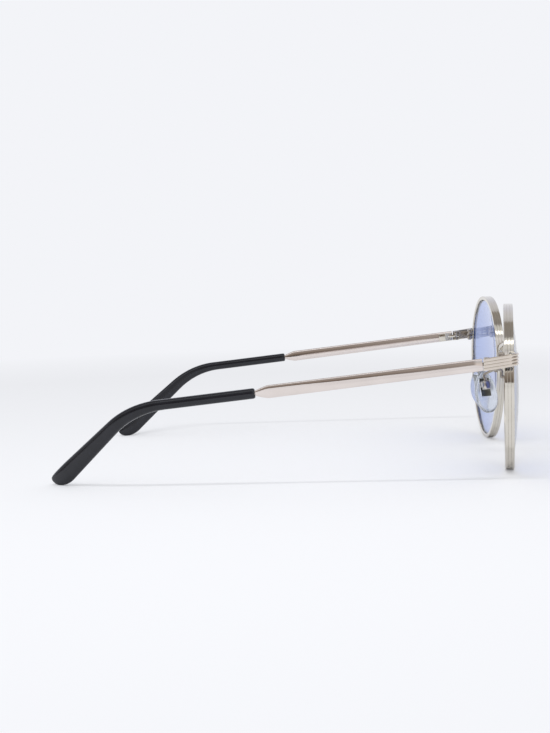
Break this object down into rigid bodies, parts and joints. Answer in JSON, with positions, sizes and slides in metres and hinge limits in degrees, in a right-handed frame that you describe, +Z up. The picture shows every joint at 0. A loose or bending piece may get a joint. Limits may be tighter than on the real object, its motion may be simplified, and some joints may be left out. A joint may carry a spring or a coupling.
{
  "type": "sunglasses",
  "caption": "Round metal sunglasses: reeded rims, tinted lenses, an arched bridge, ribbed endpieces, folding temples with moulded tips, and rocking nose pads.",
  "frame": {"origin": "on the surface that the glasses stand on, under the middle of their width and depth", "axes": "+X towards the wearer's left, +Y from the front towards the wearer's ears, +Z up"},
  "size_m": [0.1432, 0.1546, 0.0546],
  "materials": {
    "frame_metal": "polished, with a warm silver plating",
    "screw_steel": "bright",
    "lens_tint": "clear, light blue tint",
    "tip_acetate": "polished black",
    "pad_silicone": "clear",
    "pad_insert_metal": "dark plated"
  },
  "bodies": {
    "front": {"bridge": "frame_metal", "rim_left": "frame_metal", "rim_right": "frame_metal", "lens_left": "lens_tint", "lens_right": "lens_tint", "endpiece_left": "frame_metal", "endpiece_right": "frame_metal", "rim_lock_upper_left": "frame_metal", "rim_lock_upper_right": "frame_metal", "rim_lock_lower_left": "frame_metal", "rim_lock_lower_right": "frame_metal", "rim_screw_left": "screw_steel", "rim_screw_right": "screw_steel", "hinge_front_left": "frame_metal", "hinge_front_right": "frame_metal", "hinge_screw_left": "screw_steel", "hinge_screw_right": "screw_steel", "pad_box_left": "frame_metal", "pad_box_right": "frame_metal", "pad_arm_left": "frame_metal", "pad_arm_right": "frame_metal", "pad_screw_left": "screw_steel", "pad_screw_right": "screw_steel"},
    "temple_left": {"temple_blade_left": "frame_metal", "temple_tip_left": "tip_acetate", "hinge_rear_left": "frame_metal"},
    "temple_right": {"temple_blade_right": "frame_metal", "temple_tip_right": "tip_acetate", "hinge_rear_right": "frame_metal"},
    "pad_left": {"nose_pad_left": "pad_silicone", "pad_insert_left": "pad_insert_metal"},
    "pad_right": {"nose_pad_right": "pad_silicone", "pad_insert_right": "pad_insert_metal"}
  },
  "joints": [
    {"name": "temple_fold_left", "type": "hinge", "parent": "front", "child": "temple_left", "pos_m": [0.0682, -0.06269, 0.0378], "axis": [0, 0, 1], "range_deg": [0, 87]},
    {"name": "temple_fold_right", "type": "hinge", "parent": "front", "child": "temple_right", "pos_m": [-0.0682, -0.06269, 0.0378], "axis": [0, 0, -1], "range_deg": [0, 81]},
    {"name": "pad_rock_left", "type": "hinge", "parent": "front", "child": "pad_left", "pos_m": [0.0096, -0.06729, 0.02531], "axis": [0.5, 0.866, 0], "range_deg": [-8, 8]},
    {"name": "pad_rock_right", "type": "hinge", "parent": "front", "child": "pad_right", "pos_m": [-0.0096, -0.06729, 0.02531], "axis": [-0.5, 0.866, 0], "range_deg": [-8, 8]}
  ]
}
